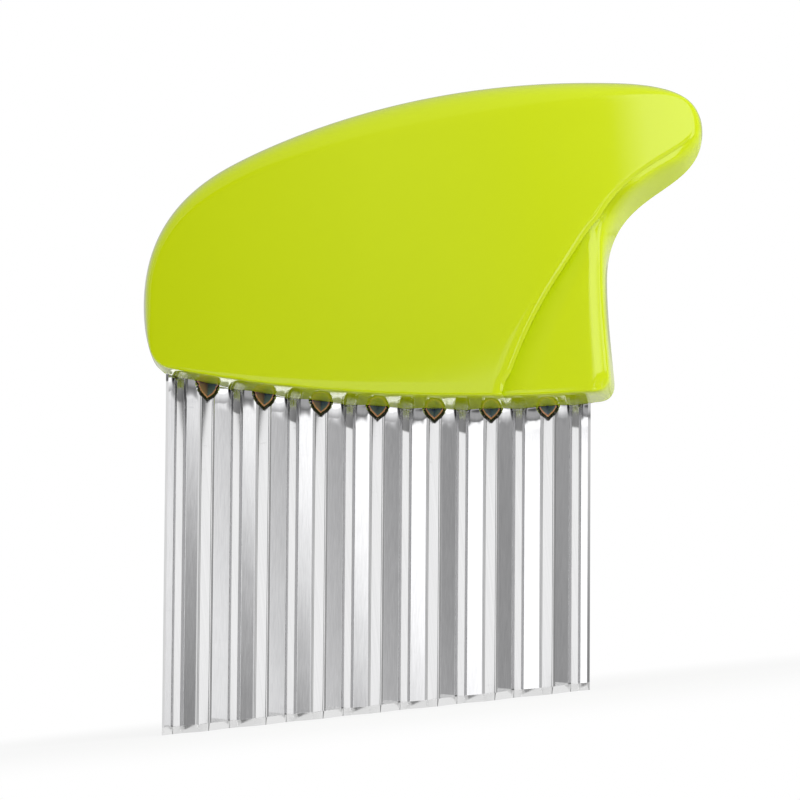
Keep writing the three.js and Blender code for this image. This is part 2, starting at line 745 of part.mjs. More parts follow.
// The blade's waves stand square to the handle, so the whole is turned to lay the edge level
const turned = new THREE.Group();
turned.add(piece('front_shell', handleShell(-1), LIME, 0.2, 0));
turned.add(piece('rear_shell', handleShell(1), LIME, 0.2, 0));
turned.add(piece('wave_blade', waveBlade(), STEEL, 0.2, 1));
turned.rotation.y = EDGE_SLANT;
turned.position.z = BLADE_DROP * Math.cos(EDGE_SLANT);

const cutter = new THREE.Group();
cutter.add(turned);
cutter.updateMatrixWorld(true);
const middle = new THREE.Box3().setFromObject(cutter, true).getCenter(new THREE.Vector3());
turned.position.x -= middle.x;

export default cutter;
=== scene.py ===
# Crinkle cutter: a lime-green palm handle in two moulded halves over a corrugated steel blade.
import math
from bisect import bisect_right

import bmesh
import bpy
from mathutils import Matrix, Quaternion, Vector
from mathutils.geometry import interpolate_bezier


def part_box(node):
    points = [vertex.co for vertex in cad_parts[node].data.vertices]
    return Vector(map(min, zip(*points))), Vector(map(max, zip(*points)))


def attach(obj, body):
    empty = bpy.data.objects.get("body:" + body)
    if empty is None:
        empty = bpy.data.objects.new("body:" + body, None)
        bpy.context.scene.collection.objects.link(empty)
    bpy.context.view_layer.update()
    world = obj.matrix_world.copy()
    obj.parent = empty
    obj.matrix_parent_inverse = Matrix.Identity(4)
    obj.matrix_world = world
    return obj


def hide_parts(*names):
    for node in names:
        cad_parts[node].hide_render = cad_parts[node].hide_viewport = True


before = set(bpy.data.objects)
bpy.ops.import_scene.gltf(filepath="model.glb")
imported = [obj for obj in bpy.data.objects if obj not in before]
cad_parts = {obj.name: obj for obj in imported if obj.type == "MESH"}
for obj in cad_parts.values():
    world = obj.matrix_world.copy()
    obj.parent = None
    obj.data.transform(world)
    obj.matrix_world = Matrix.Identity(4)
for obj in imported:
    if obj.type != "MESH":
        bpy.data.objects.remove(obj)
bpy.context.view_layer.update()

# The drawing is in millimetres: u along the blade, w up from the underside, depth away from the seam
MM = 0.001

# Blade sheet, its waves and its edge
SHEET = 0.6
WAVE_PITCH = 10
WAVE_COUNT = 7
WAVE_DEPTH = 4.46
LAND_RADIUS = 20
CREST_LAND = 0.8
VALLEY_LAND = 0.58
BEND_RADIUS = 0.42
END_FLANK = 2.75
BLADE_DROP = 53.7
EDGE_SLANT = math.radians(6.1)
EDGE_LAND = 0.25
GRIND_HEIGHT = 1.3
RUN_OUT = 2.35
RUN_OUT_GROWTH = 0.0004
FACET_FALL = 1.2
FACET_RISE = 0.86
FACET_SIDE = 1.5
SIDE_STEEPNESS = 6
FACET_BLEND = 0.2
FLARE_RUN = 3.1
FLARE_SAG = 1.2
FLARE_CURVE = 0.035
FLARE_BLEND = 0.8
VALLEY_FLARE = -0.35
WAVE_SHIFT = 0.25
LEFT_TRIM = 0.55
RIGHT_TRIM = 0.4
BLADE_LEAN = math.radians(0.42)
TANG_RISE = 15.5
TANG_SHOULDER = 3
BLADE_GAP = 0.3
SLOT_GAP = 0.1

# Handle silhouette along the blade: each reach is added to the one before it
HEEL_MARGIN = 0.95
HEEL_BULGE = 2.45
SHOULDER_SETBACK = 15.9
FOOT_MARGIN = 4.3
WAIST_INSET = 1.25
NOSE_OVERHANG = 17
CROWN_SETBACK = 19.3

# Handle silhouette upwards, and its slopes
UNDERSIDE_RADIUS = 222
UNDERSIDE_SHIFT = 15.3
UNDERSIDE_DROP = 0.35
HEEL_RISE = 18.1
SHOULDER_RISE = 43
CROWN_RISE = 57.7
NOSE_RISE = 48.9
WAIST_RISE = 22.3
HEEL_LEAN = math.radians(20)
SHOULDER_SLOPE = math.radians(28)
FACE_CROWN_SLOPE = math.radians(6.5)
CREASE_SLOPE = math.radians(60)
CORNER_SIZE = 2.6
CORNER_PULL = 2

# How far the face's own edge lies inside the silhouette
UNDERSIDE_BAND = 2.0
BAND_TAPER = 0.75
HEEL_FOOT_BAND = 0.7
HEEL_BAND = 2.05
SHOULDER_BAND = 4.5
CROWN_BAND = 4.5
NOSE_BAND = 1.8
WAIST_BAND = 1.7
FOOT_BAND = 2.1

# Pulls of the curves, on the silhouette and on the face's edge
HEEL_UP = (15, 13)
HEEL_DOWN = (5, 4.5)
SHOULDER_DOWN = (7, 7)
SHOULDER_UP = (10, 10)
CROWN_BACK = (32, 30)
CROWN_FORE = (9, 13)
NOSE_UP = (8.5, 7.5)
NOSE_DOWN = (12, 5)
WAIST_UP = 17.2
WAIST_DOWN = (8, 8)
FACE_WAIST_UP = 5.5
CREASE_DOWN = 2
CREASE_UP = 12

# Handle depth on each side of the seam
PALM_HALF = 12
FLAT_RISE = 12
CROWN_THINNING = 4
HEEL_THINNING = 1.8
NOSE_THINNING = 5.5
NOSE_FALL = 4
WALL = 2
SEAM_HALF = 0.04
SEAM_BREAK = 0.12

# Neck: the wedge beside the palm face, and the step down to it
NECK_WIDTH = 17.4
NECK_BOW = 0.3
NECK_TOP = 32.5
NECK_TOP_LEAN = 0.3
HOOK_SPLIT = 0.16
NECK_EDGE = 0.35
CHAMFER_WIDTH = 1.9
CHAMFER_SLOPE = 0.265
CHAMFER_CURVE = 0.012
CHAMFER_SHARE = 0.6
SCOOP_RUN = 5
SCOOP_DEPTH = 0.5
STEP_RUN = 2.4
STEP_TIP = 0.8
STEP_ROLL = 0.35
STEP_WALL = 1.0
NECK_LEAN = 0.035
CREASE_FOOT = 0.9
HOOK_ROLL = 0.5
STEP_FADE_NOSE = 7
NOSE_FADE = 5
TOP_CORNER = 0.42
LEFT_CORNER = 0.4

# Mesh fineness
CURVE_STEPS = 96
PALM_COLUMNS = 92
STEP_COLUMNS = 12
NECK_COLUMNS = 22
CHAMFER_COLUMNS = 8
FACE_ROWS = 84
RIM_RINGS = 16
LAND_STEPS = 5
BEND_STEPS = 7
FLANK_STEPS = 16
BEND_GUARD = 0.04
TANG_ROWS = 2
RUN_OUT_ROWS = 46
PLAIN_ROWS = 12
HANDLE_SHARP = math.radians(35)
BLADE_SHARP = math.radians(11)
MERGE_DISTANCE = SEAM_HALF * MM / 20
SLOPE_REACH = SHEET / 20

# Search for the angle of the waves' flanks
FLANK_LIMITS = (math.radians(20), math.radians(80))
FLANK_HALVINGS = 60

# Places along the blade that follow from the sizes above
blade_half = WAVE_COUNT * WAVE_PITCH / 2 + END_FLANK
heel_foot = -blade_half - HEEL_MARGIN
heel = heel_foot - HEEL_BULGE
shoulder = heel + SHOULDER_SETBACK
foot = blade_half + FOOT_MARGIN
waist = foot - WAIST_INSET
nose = waist + NOSE_OVERHANG
crown = nose - CROWN_SETBACK
tang_half = blade_half - TANG_SHOULDER


def lerp(start, end, share):
    return start + (end - start) * share


def smooth(low, high, value):
    share = min(max((value - low) / (high - low), 0), 1)
    return share * share * (3 - 2 * share)


def underside(u):
    """Height of the underside's arc."""
    sag = UNDERSIDE_RADIUS - math.sqrt(UNDERSIDE_RADIUS ** 2 - (u - UNDERSIDE_SHIFT) ** 2)
    return sag - UNDERSIDE_DROP


def underside_band(u):
    """How far the face's lower edge lies above the underside: less towards the heel and the foot."""
    return UNDERSIDE_BAND - BAND_TAPER * ((u - UNDERSIDE_SHIFT) / blade_half) ** 2


neck_low = underside(foot) + UNDERSIDE_BAND


def edge_height(u):
    """Height of the cutting edge, which is slanted to the waves."""
    return -BLADE_DROP + u * math.tan(EDGE_SLANT)


def turned(u, w):
    """A drawing point laid level by the edge's slant, before it is centred along the blade."""
    level = u * math.cos(EDGE_SLANT) + w * math.sin(EDGE_SLANT)
    height = (w + BLADE_DROP) * math.cos(EDGE_SLANT) - u * math.sin(EDGE_SLANT)
    return level, height


# Outlines of the handle

class Outline:
    """A closed line in spans, found by a span's number and the share of its length."""

    def __init__(self, spans):
        self.spans = spans
        self.runs = []
        for points in spans:
            run = [0.0]
            for before, after in zip(points, points[1:]):
                run.append(run[-1] + (after - before).length)
            self.runs.append(run)
        self.starts = [0.0]
        for run in self.runs:
            self.starts.append(self.starts[-1] + run[-1])

    def locate(self, distance):
        """Span number and share of its length at a distance from the start."""
        distance = distance % self.starts[-1]
        span = min(bisect_right(self.starts, distance), len(self.spans)) - 1
        return span, (distance - self.starts[span]) / self.runs[span][-1]

    def point(self, span, share):
        points, run = self.spans[span], self.runs[span]
        distance = share * run[-1]
        k = min(max(bisect_right(run, distance) - 1, 0), len(points) - 2)
        return points[k].lerp(points[k + 1], (distance - run[k]) / (run[k + 1] - run[k]))


def cubic(start, pull_start, pull_end, end):
    return interpolate_bezier(start, start + pull_start, end + pull_end, end, CURVE_STEPS)


def rounded_corner(start, corner, end):
    return cubic(start, (corner - start) * 2 / 3, (corner - end) * 2 / 3, end)


def handle_outline(band):
    """The silhouette at band 0, the edge of the face at band 1, anticlockwise from the left foot."""
    pull = lambda pair: lerp(*pair, band)
    up = Vector((0, 1))
    lean = Vector((-math.sin(HEEL_LEAN), math.cos(HEEL_LEAN)))
    slope = Vector((math.cos(SHOULDER_SLOPE), math.sin(SHOULDER_SLOPE)))
    crown_slope = FACE_CROWN_SLOPE * band
    along_crown = Vector((math.cos(crown_slope), math.sin(crown_slope)))
    floor = lambda u: Vector((u, underside(u) + underside_band(u) * band))

    left = heel_foot + HEEL_FOOT_BAND * band
    right = foot - FOOT_BAND * band
    left_corner, right_corner = floor(left), floor(right)
    left_start, right_end = floor(left + CORNER_SIZE), floor(right - CORNER_SIZE)
    left_top = left_corner + lean * CORNER_SIZE
    right_top = right_corner + up * CORNER_SIZE
    waist_point = Vector((waist - WAIST_BAND * band, WAIST_RISE))
    nose_point = Vector((nose - NOSE_BAND * band, NOSE_RISE))
    crown_point = Vector((crown, CROWN_RISE - CROWN_BAND * band))
    # The hook's curve is split where the face's edge turns from the neck into the crease
    split = round(HOOK_SPLIT * CURVE_STEPS)
    hook = cubic(waist_point, up * WAIST_UP, -up * pull(NOSE_DOWN), nose_point)
    neck_upper, hook = hook[:split + 1], hook[split:]
    if band:
        crease = Vector((math.cos(CREASE_SLOPE), math.sin(CREASE_SLOPE)))
        neck_top = Vector((waist - WAIST_BAND + NECK_TOP_LEAN, NECK_TOP))
        neck_upper = cubic(waist_point, up * FACE_WAIST_UP, -crease * CREASE_DOWN, neck_top)
        hook = cubic(neck_top, crease * CREASE_UP, -up * pull(NOSE_DOWN), nose_point)
    inwards = Vector((slope.y, -slope.x))
    shoulder_point = Vector((shoulder, SHOULDER_RISE)) + inwards * SHOULDER_BAND * band
    heel_point = Vector((heel + HEEL_BAND * band, HEEL_RISE))
    arc = [floor(lerp(left_start.x, right_end.x, k / CURVE_STEPS)) for k in range(CURVE_STEPS + 1)]
    return Outline([
        arc,
        rounded_corner(right_end, right_corner, right_top),
        cubic(right_top, up * CORNER_PULL, -up * pull(WAIST_DOWN), waist_point),
        neck_upper,
        hook,
        cubic(nose_point, up * pull(NOSE_UP), along_crown * pull(CROWN_FORE), crown_point),
        cubic(crown_point, -along_crown * pull(CROWN_BACK), slope * pull(SHOULDER_UP), shoulder_point),
        cubic(shoulder_point, -slope * pull(SHOULDER_DOWN), up * pull(HEEL_UP), heel_point),
        cubic(heel_point, -up * pull(HEEL_DOWN), lean * CORNER_PULL, left_top),
        rounded_corner(left_top, left_corner, left_start),
    ])


UNDERSIDE, RIGHT_CORNER, NECK, NECK_UPPER, HOOK, NOSE, BACK, HEEL, LEG, LEFT_CORNER_SPAN = range(10)
silhouette = handle_outline(0)
face_edge = handle_outline(1)

# The frame gives the place along the blade: the nose is the part's last point to the right
outermost = max(turned(*point)[0] for points in silhouette.spans for point in points)
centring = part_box("front_shell")[1].x / MM - outermost


def placed(u, depth, w):
    """A drawing point in the frame, in metres; depth is positive to the rear."""
    level, height = turned(u, w)
    return Vector(((level + centring) * MM, depth * MM, height * MM))


# Rounded edge: its share of straight draft, and how square the rounding is (2 is an ellipse)
UNDERSIDE_EDGE = (0.62, 4.5)
WAIST_EDGE = (0.35, 2.4)
HOOK_EDGE = (0.7, 4.5)
NOSE_EDGE = (0.3, 3.0)
BACK_EDGE = (0.0, 2.2)
SHOULDER_EDGE = (0.1, 2.4)
HEEL_EDGE = (0.45, 3.5)


def edge_stations():
    """Distances along the silhouette, with the edge's draft and squareness there."""
    starts = silhouette.starts
    return [
        (starts[UNDERSIDE], *UNDERSIDE_EDGE),
        (starts[RIGHT_CORNER], *UNDERSIDE_EDGE),
        (starts[NECK_UPPER], *WAIST_EDGE),
        ((starts[HOOK] + starts[NOSE]) / 2, *HOOK_EDGE),
        (starts[NOSE], *NOSE_EDGE),
        ((starts[BACK] + starts[HEEL]) / 2, *BACK_EDGE),
        (starts[HEEL], *SHOULDER_EDGE),
        (starts[LEG], *HEEL_EDGE),
        (starts[-1], *UNDERSIDE_EDGE),
    ]


EDGE_STATIONS = edge_stations()


def edge_character(distance):
    """Draft share and squareness of the rounded edge at a distance along the silhouette."""
    for before, after in zip(EDGE_STATIONS, EDGE_STATIONS[1:]):
        if distance <= after[0]:
            share = smooth(before[0], after[0], distance)
            return lerp(before[1], after[1], share), lerp(before[2], after[2], share)
    return EDGE_STATIONS[-1][1:]


# Form of the handle

STEP_END = PALM_COLUMNS + STEP_COLUMNS
COLUMNS = STEP_END + NECK_COLUMNS
COLUMN_ENDS = (0, PALM_COLUMNS, STEP_END, COLUMNS)


def palm_depth(u, w):
    """Depth of the palm face: flat above the blade, thinner to the crown, the heel and the nose."""
    rise = max(w - FLAT_RISE, 0) / (CROWN_RISE - FLAT_RISE)
    along = HEEL_THINNING * (u / heel) ** 2 if u < 0 else NOSE_THINNING * (u / nose) ** NOSE_FALL
    return PALM_HALF - CROWN_THINNING * rise ** 2 - along


def step_depths(w):
    """Depths of the step: the roll of the palm's edge, and the wall below it down to the neck."""
    hook = smooth(NECK_TOP, NECK_TOP + STEP_FADE_NOSE, w)
    roll = lerp(STEP_ROLL, HOOK_ROLL, hook) * (1 - smooth(NOSE_RISE - NOSE_FADE, NOSE_RISE, w))
    return roll, (STEP_WALL + NECK_LEAN * w) * (1 - hook)


def neck_share(column, w):
    """Place of a column across the neck: 0 at the step, 1 at the edge, the last ones on the chamfer."""
    chamfer = min(CHAMFER_WIDTH / neck_width(w), CHAMFER_SHARE)
    from_edge = COLUMNS - column
    if from_edge <= CHAMFER_COLUMNS:
        return 1 - chamfer * from_edge / CHAMFER_COLUMNS
    return (1 - chamfer) * (column - STEP_END) / (NECK_COLUMNS - CHAMFER_COLUMNS)


def neck_drop(w, share):
    """Depth that the neck loses in the hollow beside the step and on the chamfer along its outer edge."""
    width = neck_width(w)
    hollow = SCOOP_DEPTH * smooth(0, SCOOP_RUN, width) * max(1 - width * share / SCOOP_RUN, 0) ** 2
    fading = 1 - smooth(NECK_TOP - STEP_TIP, NECK_TOP + STEP_FADE_NOSE, w)
    run = max(CHAMFER_WIDTH - width * (1 - share), 0)
    return hollow + fading * run * (CHAMFER_SLOPE + CHAMFER_CURVE * run)


def face_depth(u, w, column):
    """Depth of the face: the palm with its rolled edge, and below the step the neck."""
    depth = palm_depth(u, w)
    if column <= PALM_COLUMNS:
        return depth
    roll, wall = step_depths(w)
    if column < STEP_END:
        return depth - roll * math.sin((column - PALM_COLUMNS) / STEP_COLUMNS * math.pi / 2) ** 2
    return depth - roll - wall - neck_drop(w, neck_share(column, w))


def neck_width(w):
    """Width of the neck's flat at a height: a wedge that closes at its top."""
    share = min((w - neck_low) / (NECK_TOP - neck_low), 1)
    wedge = NECK_WIDTH * (1 - share) * (1 + NECK_BOW * share)
    return math.hypot(wedge, NECK_EDGE)


def spread(start, end, count):
    return [lerp(start, end, k / count) for k in range(count)]


def crowded(start, end, count):
    """Places that crowd towards the end, as points of a quarter circle do."""
    return [lerp(start, end, math.sin(k / count * math.pi / 2)) for k in range(count)]


def rim_distances():
    """Silhouette distances of the grid's rim: its bottom, right, top and left side."""
    starts, length = silhouette.starts, silhouette.starts[-1]
    left_foot = (starts[LEFT_CORNER_SPAN] + length) / 2 - length
    right_foot = (starts[RIGHT_CORNER] + starts[NECK]) / 2
    step_foot = right_foot - NECK_WIDTH - CREASE_FOOT - STEP_RUN
    top_right = lerp(starts[NOSE], starts[BACK], TOP_CORNER)
    top_left = lerp(starts[HEEL], starts[LEG], LEFT_CORNER)
    step_top = top_right + NECK_EDGE
    bottom = spread(left_foot, step_foot, PALM_COLUMNS)
    bottom += crowded(step_foot, step_foot + STEP_RUN, STEP_COLUMNS)
    neck_columns = range(STEP_END, COLUMNS + 1)
    bottom += [lerp(step_foot + STEP_RUN, right_foot, neck_share(k, neck_low)) for k in neck_columns]
    top = spread(top_left, step_top + STEP_TIP, PALM_COLUMNS)
    top += crowded(step_top + STEP_TIP, step_top, STEP_COLUMNS)
    top += [lerp(step_top, top_right, neck_share(k, NECK_TOP)) for k in neck_columns]
    right = spread(right_foot, top_right, FACE_ROWS) + [top_right]
    left = spread(left_foot + length, top_left, FACE_ROWS) + [top_left]
    return bottom, right, top, left


BOTTOM, RIGHT, TOP, LEFT = rim_distances()


def rim_distance(column, row):
    if row == 0:
        return BOTTOM[column]
    if row == FACE_ROWS:
        return TOP[column]
    return LEFT[row] if column == 0 else RIGHT[row]


def rim_point(outline, column, row):
    return outline.point(*silhouette.locate(rim_distance(column, row)))


def crease_point(row, run):
    """A point of the step at a row, run millimetres from the neck's flat towards the palm."""
    if row == 0 or row == FACE_ROWS:
        column = PALM_COLUMNS if run else STEP_END
        return rim_point(face_edge, column, row)
    edge = rim_point(face_edge, COLUMNS, row)
    onwards = rim_point(face_edge, COLUMNS, row + 1) - rim_point(face_edge, COLUMNS, row - 1)
    onwards.normalize()
    inwards = Vector((-onwards.y, onwards.x))
    turning = smooth(NECK_TOP - STEP_FADE_NOSE, NECK_TOP + STEP_FADE_NOSE, edge.y)
    away = Vector((-1, 0)).lerp(inwards, turning).normalized()
    tip = lerp(run, STEP_TIP if run else 0, turning)
    return edge + away * (neck_width(edge.y) + tip)


def column_share(patch, column, row):
    """Place of a column across its patch: even on the palm, crowded to the crease on the step."""
    share = (column - COLUMN_ENDS[patch]) / (COLUMN_ENDS[patch + 1] - COLUMN_ENDS[patch])
    if patch == 0:
        return share
    if patch == 1:
        return math.sin(share * math.pi / 2)
    if row == 0:
        return neck_share(column, neck_low)
    return neck_share(column, rim_point(face_edge, COLUMNS, row).y)


def face_points():
    """Drawing points of the face grid, in three patches between four rails."""
    rows = range(FACE_ROWS + 1)
    rails = [
        [rim_point(face_edge, 0, row) for row in rows],
        [crease_point(row, STEP_RUN) for row in rows],
        [crease_point(row, 0) for row in rows],
        [rim_point(face_edge, COLUMNS, row) for row in rows],
    ]
    points = {}
    for patch in range(3):
        first, last = COLUMN_ENDS[patch], COLUMN_ENDS[patch + 1]
        left, right = rails[patch], rails[patch + 1]
        for column in range(first, last + 1):
            low = rim_point(face_edge, column, 0)
            high = rim_point(face_edge, column, FACE_ROWS)
            shares = [column_share(patch, column, row) for row in rows]
            across = [start.lerp(end, share) for start, end, share in zip(left, right, shares)]
            for row in rows:
                t = row / FACE_ROWS
                points[column, row] = low.lerp(high, t) + across[row] - across[0].lerp(across[-1], t)
    return points


FACE = face_points()


def seam_depth(point, side):
    """Depth of the seam's edge; along the underside it leaves the slot that the blade stands in."""
    u = point.x - WAVE_SHIFT
    in_slot = abs(u) < blade_half + BLADE_GAP and point.y < underside(u) + SHEET
    if not in_slot:
        return SEAM_HALF
    if side > 0:
        return SHEET / 2 + BLADE_GAP + WAVE_DEPTH / 2
    slope = (sheet_height(u + SHEET / 2, point.y) - sheet_height(u - SHEET / 2, point.y)) / SHEET
    return sheet_height(u, point.y) + math.hypot(1, slope) * SHEET / 2 + SLOT_GAP


def rounded_edge(column, row, angle, side):
    """Drawing point and depth on the rounded edge, from the seam at 0 to the face at a right angle."""
    distance = rim_distance(column, row) % silhouette.starts[-1]
    draft, square = edge_character(distance)
    rise = math.sin(angle) ** (2 / square)
    bend = 1 - max(math.cos(angle), 0) ** (2 / square)
    across = draft * rise + (1 - draft) * bend
    outer = rim_point(silhouette, column, row)
    point = outer.lerp(rim_point(face_edge, column, row), across)
    seam = seam_depth(outer, side) + SEAM_BREAK
    return point, lerp(seam, face_depth(point.x, point.y, column), rise)


def half_grid(bm, side, depth_drop):
    """A grid laid on the face, lowered by depth_drop, with the column and row kept on each vertex."""
    column_of = bm.verts.layers.int.get("column") or bm.verts.layers.int.new("column")
    row_of = bm.verts.layers.int.get("row") or bm.verts.layers.int.new("row")
    grid = bmesh.ops.create_grid(bm, x_segments=COLUMNS, y_segments=FACE_ROWS, size=0.5)
    for vert in grid["verts"]:
        column = round((vert.co.x + 0.5) * COLUMNS)
        row = round((vert.co.y + 0.5) * FACE_ROWS)
        vert[column_of], vert[row_of] = column, row
        point = FACE[column, row]
        depth = face_depth(point.x, point.y, column) - depth_drop
        vert.co = placed(point.x, side * depth, point.y)
    rim = {edge for vert in grid["verts"] for edge in vert.link_edges if edge.is_boundary}
    return list(rim), column_of, row_of


def extruded_rim(bm, rim):
    """The rim extruded once: its new edges and vertices."""
    made = bmesh.ops.extrude_edge_only(bm, edges=rim)["geom"]
    edges = [item for item in made if isinstance(item, bmesh.types.BMEdge) and item.is_boundary]
    verts = [item for item in made if isinstance(item, bmesh.types.BMVert)]
    return edges, verts


def handle_half(name, side, material):
    """One moulded half: a face, its rounded edge down to the seam, and the hollow behind it."""
    bm = bmesh.new()
    rim, column_of, row_of = half_grid(bm, side, 0)
    for ring in range(RIM_RINGS - 1, -1, -1):
        rim, verts = extruded_rim(bm, rim)
        for vert in verts:
            angle = ring / RIM_RINGS * math.pi / 2
            point, depth = rounded_edge(vert[column_of], vert[row_of], angle, side)
            vert.co = placed(point.x, side * depth, point.y)
    rim, verts = extruded_rim(bm, rim)
    for vert in verts:
        outer = rim_point(silhouette, vert[column_of], vert[row_of])
        inner = rim_point(face_edge, vert[column_of], vert[row_of])
        point = outer + (inner - outer).normalized() * SEAM_BREAK
        vert.co = placed(point.x, side * seam_depth(outer, side), point.y)

    # Across the seam's face to the hollow, and up its wall to a second grid behind the face
    rim, verts = extruded_rim(bm, rim)
    for vert in verts:
        outer = rim_point(silhouette, vert[column_of], vert[row_of])
        inner = rim_point(face_edge, vert[column_of], vert[row_of])
        vert.co = placed(inner.x, side * seam_depth(outer, side), inner.y)
    rim, verts = extruded_rim(bm, rim)
    for vert in verts:
        inner = rim_point(face_edge, vert[column_of], vert[row_of])
        depth = face_depth(inner.x, inner.y, vert[column_of]) - WALL
        vert.co = placed(inner.x, side * depth, inner.y)
    half_grid(bm, side, WALL)
    bmesh.ops.remove_doubles(bm, verts=list(bm.verts), dist=MERGE_DISTANCE)
    node = "front_shell" if side < 0 else "rear_shell"
    finished_piece(bm, name, material, node, HANDLE_SHARP)


# Blade

def bend_run(angle, land):
    """Run of the tight bend between a land and a flank of this angle."""
    return BEND_RADIUS * (math.sin(angle) - land / LAND_RADIUS)


def wave_fall(run, land, angle):
    """Fall of the wave from the middle of a crest or valley: a curved land, a bend, a straight flank."""
    if run < land:
        return LAND_RADIUS - math.sqrt(LAND_RADIUS ** 2 - run ** 2)
    bend = bend_run(angle, land)
    turn = land / LAND_RADIUS + min(run - land, bend) / BEND_RADIUS
    fall = LAND_RADIUS - math.sqrt(LAND_RADIUS ** 2 - land ** 2)
    fall += BEND_RADIUS * (math.sqrt(1 - (land / LAND_RADIUS) ** 2) - math.sqrt(1 - turn ** 2))
    return fall + max(run - land - bend, 0) * math.tan(angle)


def flank_angle():
    """Flank angle at which crest and valley meet with the wave's depth between them."""
    low, high = FLANK_LIMITS
    for _ in range(FLANK_HALVINGS):
        angle = (low + high) / 2
        depth = sum(wave_fall(WAVE_PITCH / 4, land, angle) for land in (CREST_LAND, VALLEY_LAND))
        low, high = (angle, high) if depth < WAVE_DEPTH else (low, angle)
    return angle


FLANK = flank_angle()
CREST_EDGE = CREST_LAND + bend_run(FLANK, CREST_LAND)
VALLEY_EDGE = VALLEY_LAND + bend_run(FLANK, VALLEY_LAND)


def wave_height(u):
    """Height of the wave towards the front, from its middle."""
    from_crest = abs(u - WAVE_PITCH * round(u / WAVE_PITCH))
    if from_crest < WAVE_PITCH / 4:
        return WAVE_DEPTH / 2 - wave_fall(from_crest, CREST_LAND, FLANK)
    return wave_fall(WAVE_PITCH / 2 - from_crest, VALLEY_LAND, FLANK) - WAVE_DEPTH / 2


def soft_limit(value, limit, blend):
    """value held under limit, with a soft blend between the two."""
    overlap = max(blend - abs(value - limit), 0) / blend
    return min(value, limit) - overlap ** 2 * blend / 4


def facet_limit(u, w):
    """Height of the two planes that press each crest back into a V, down to the level of the valleys."""
    crest = WAVE_PITCH * round(u / WAVE_PITCH)
    from_crest = abs(u - crest)
    run_out = RUN_OUT + RUN_OUT_GROWTH * max(UNDERSIDE_SHIFT - crest, 0) ** 2
    above_tip = w - underside(u) + run_out - FACET_RISE * from_crest
    above_tip -= SIDE_STEEPNESS * max(from_crest - FACET_SIDE, 0) ** 2
    return max(WAVE_DEPTH / 2 - FACET_FALL * above_tip, -WAVE_DEPTH / 2)


def flare(u, w):
    """Lean of the flanks to the front and of the valleys to the rear, in an arch below the handle."""
    from_crest = abs(u - WAVE_PITCH * round(u / WAVE_PITCH))
    low, high = CREST_EDGE, WAVE_PITCH / 2 - VALLEY_EDGE
    off_middle = (2 * from_crest - low - high) / (high - low)
    run = FLARE_RUN + FLARE_SAG * min(off_middle ** 2, 1)
    amount = smooth(CREST_LAND, CREST_EDGE + FLARE_BLEND, from_crest)
    amount += (VALLEY_FLARE - 1) * smooth(high - FLARE_BLEND, WAVE_PITCH / 2 - VALLEY_LAND, from_crest)
    return amount * FLARE_CURVE * max(run - max(underside(u) - w, 0), 0) ** 2


def sheet_height(u, w):
    """Middle of the sheet: full waves, with the crests pressed back below the handle."""
    return soft_limit(wave_height(u) + flare(u, w), facet_limit(u, w), FACET_BLEND)


def wave_columns():
    """Places across the blade, close together in the bends, with a guard column on each side of a bend."""
    valley_bend, valley_land = WAVE_PITCH / 2 - VALLEY_EDGE, WAVE_PITCH / 2 - VALLEY_LAND
    marks = [
        0, CREST_LAND - BEND_GUARD, CREST_LAND, CREST_EDGE, CREST_EDGE + BEND_GUARD,
        valley_bend - BEND_GUARD, valley_bend, valley_land, valley_land + BEND_GUARD, WAVE_PITCH / 2,
    ]
    steps = [LAND_STEPS, 1, BEND_STEPS, 1, FLANK_STEPS, 1, BEND_STEPS, 1, LAND_STEPS]
    down = [u for low, high, count in zip(marks, marks[1:], steps) for u in spread(low, high, count)]
    up = [WAVE_PITCH / 2 - u for u in reversed(down + [WAVE_PITCH / 2])][:-1]
    crests = [WAVE_PITCH * (k - WAVE_COUNT // 2 - 1) for k in range(WAVE_COUNT + 2)]
    inside = [crest + run for crest in crests for run in down + [WAVE_PITCH / 2 + rise for rise in up]]
    left, right = LEFT_TRIM - blade_half, blade_half - RIGHT_TRIM
    margin = BLADE_GAP / 2
    return [left] + [u for u in inside if left + margin < u < right - margin] + [right]


def blade_rows():
    """Heights down the blade as functions of the place along it, from the tang to the cutting edge."""
    grind = GRIND_HEIGHT / math.cos(EDGE_SLANT)
    facet_top = WAVE_DEPTH / FACET_FALL + FACET_RISE * WAVE_PITCH / 2 - RUN_OUT
    at_rise = lambda rise: lambda u: underside(u) + rise
    full = at_rise(-RUN_OUT - FLARE_RUN)
    rows = [at_rise(TANG_RISE), at_rise(facet_top + SHEET)]
    rows += [at_rise(rise) for rise in spread(facet_top, -RUN_OUT - FLARE_RUN, RUN_OUT_ROWS)]
    for share in spread(0, 1, PLAIN_ROWS):
        rows.append(lambda u, share=share: lerp(full(u), edge_height(u) + grind, share))
    return rows + [lambda u: edge_height(u) + grind, edge_height]


